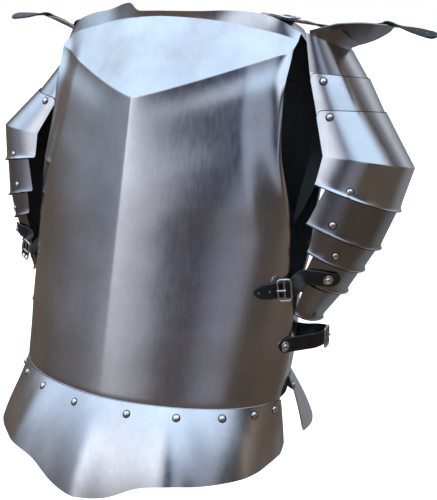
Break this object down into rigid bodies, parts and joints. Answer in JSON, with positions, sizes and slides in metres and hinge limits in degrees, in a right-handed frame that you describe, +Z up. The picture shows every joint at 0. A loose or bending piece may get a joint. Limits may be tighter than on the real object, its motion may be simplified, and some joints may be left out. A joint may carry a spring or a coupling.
{
  "type": "steel breastplate",
  "caption": "Steel breastplate with a raised centre ridge, backplate, flared waist skirt, articulated shoulder guards, leather straps and buckles.",
  "frame": {"origin": "middle of the wearer, at the height and depth where the shoulder tabs rest on the shoulders", "axes": "+X to the wearer's left, +Z up, the chest faces -Y"},
  "size_m": [0.6391, 0.3577, 0.5751],
  "materials": {
    "satin_steel": "satin polish",
    "dark_steel": "satin, darker",
    "buckle_steel": "polished",
    "black_leather": "smooth, slightly worn"
  },
  "bodies": {
    "cuirass": {"breastplate": "satin_steel", "backplate": "satin_steel", "front_skirt": "satin_steel", "back_skirt": "satin_steel", "left_guard_plate_1": "satin_steel", "left_guard_wing": "dark_steel", "left_guard_strap": "black_leather", "left_guard_buckle": "buckle_steel", "left_side_strap": "black_leather", "left_side_strap_rivet": "buckle_steel", "left_side_buckle": "buckle_steel", "left_shoulder_base_strap": "black_leather", "left_shoulder_joiner": "black_leather", "right_guard_plate_1": "satin_steel", "right_guard_wing": "dark_steel", "right_guard_strap": "black_leather", "right_guard_buckle": "buckle_steel", "right_side_strap": "black_leather", "right_side_strap_rivet": "buckle_steel", "right_side_buckle": "buckle_steel", "right_shoulder_base_strap": "black_leather", "right_shoulder_joiner": "black_leather"},
    "left_second_plate": {"left_guard_plate_2": "satin_steel"},
    "left_lower_guard": {"left_guard_plate_3": "satin_steel", "left_guard_lame_4": "dark_steel", "left_guard_lame_5": "dark_steel", "left_guard_lame_6": "dark_steel", "left_guard_lame_7": "dark_steel", "left_arm_strap": "black_leather", "left_arm_strap_rivet": "buckle_steel", "left_arm_buckle": "buckle_steel", "left_arm_strap_tip": "black_leather"},
    "right_second_plate": {"right_guard_plate_2": "satin_steel"},
    "right_lower_guard": {"right_guard_plate_3": "satin_steel", "right_guard_lame_4": "dark_steel", "right_guard_lame_5": "dark_steel", "right_guard_lame_6": "dark_steel", "right_guard_lame_7": "dark_steel", "right_arm_strap": "black_leather", "right_arm_strap_rivet": "buckle_steel", "right_arm_buckle": "buckle_steel", "right_arm_strap_tip": "black_leather"}
  },
  "joints": [
    {"name": "left_second_plate_swing", "type": "hinge", "parent": "cuirass", "child": "left_second_plate", "pos_m": [0.20778, -0.0233, -0.08694], "axis": [0, -0.9952, 0.0982], "range_deg": [0, 5]},
    {"name": "left_lower_guard_swing", "type": "hinge", "parent": "left_second_plate", "child": "left_lower_guard", "pos_m": [0.22278, -0.0355, -0.12683], "axis": [0.0004, -0.9938, 0.111], "range_deg": [0, 7]},
    {"name": "right_second_plate_swing", "type": "hinge", "parent": "cuirass", "child": "right_second_plate", "pos_m": [-0.19278, -0.01894, -0.09176], "axis": [-0.1833, 0.9827, -0.0246], "range_deg": [0, 5]},
    {"name": "right_lower_guard_swing", "type": "hinge", "parent": "right_second_plate", "child": "right_lower_guard", "pos_m": [-0.21312, -0.03203, -0.12891], "axis": [-0.1853, 0.982, -0.0373], "range_deg": [0, 7]}
  ]
}
